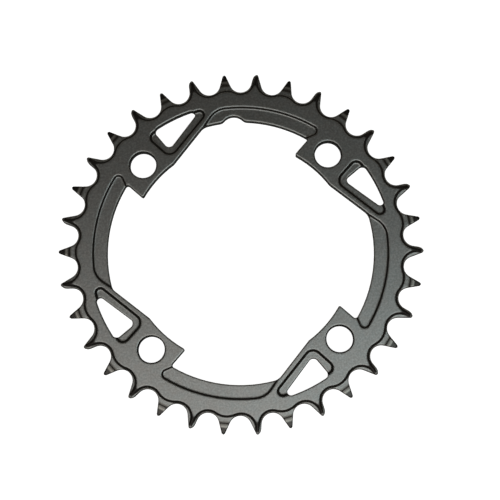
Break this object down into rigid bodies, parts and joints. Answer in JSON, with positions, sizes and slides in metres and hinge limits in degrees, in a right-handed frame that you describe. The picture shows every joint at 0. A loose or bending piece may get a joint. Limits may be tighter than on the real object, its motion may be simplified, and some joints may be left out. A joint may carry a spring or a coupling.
{
  "type": "bicycle chainring",
  "caption": "Flat bicycle chainring with narrow and wide teeth in turn, inward bolt tabs, windows and shallow milled pockets.",
  "frame": {"origin": "centre of the ring on its back face", "axes": "+Z along the ring's axis out of the front face; the four bolt holes stand at 45 degrees to X and Y"},
  "size_m": [0.1438, 0.1439, 0.0039],
  "materials": {
    "chainring": "satin dark grey anodised, fine grain"
  },
  "bodies": {
    "root": {"chainring": "chainring"}
  },
  "joints": []
}
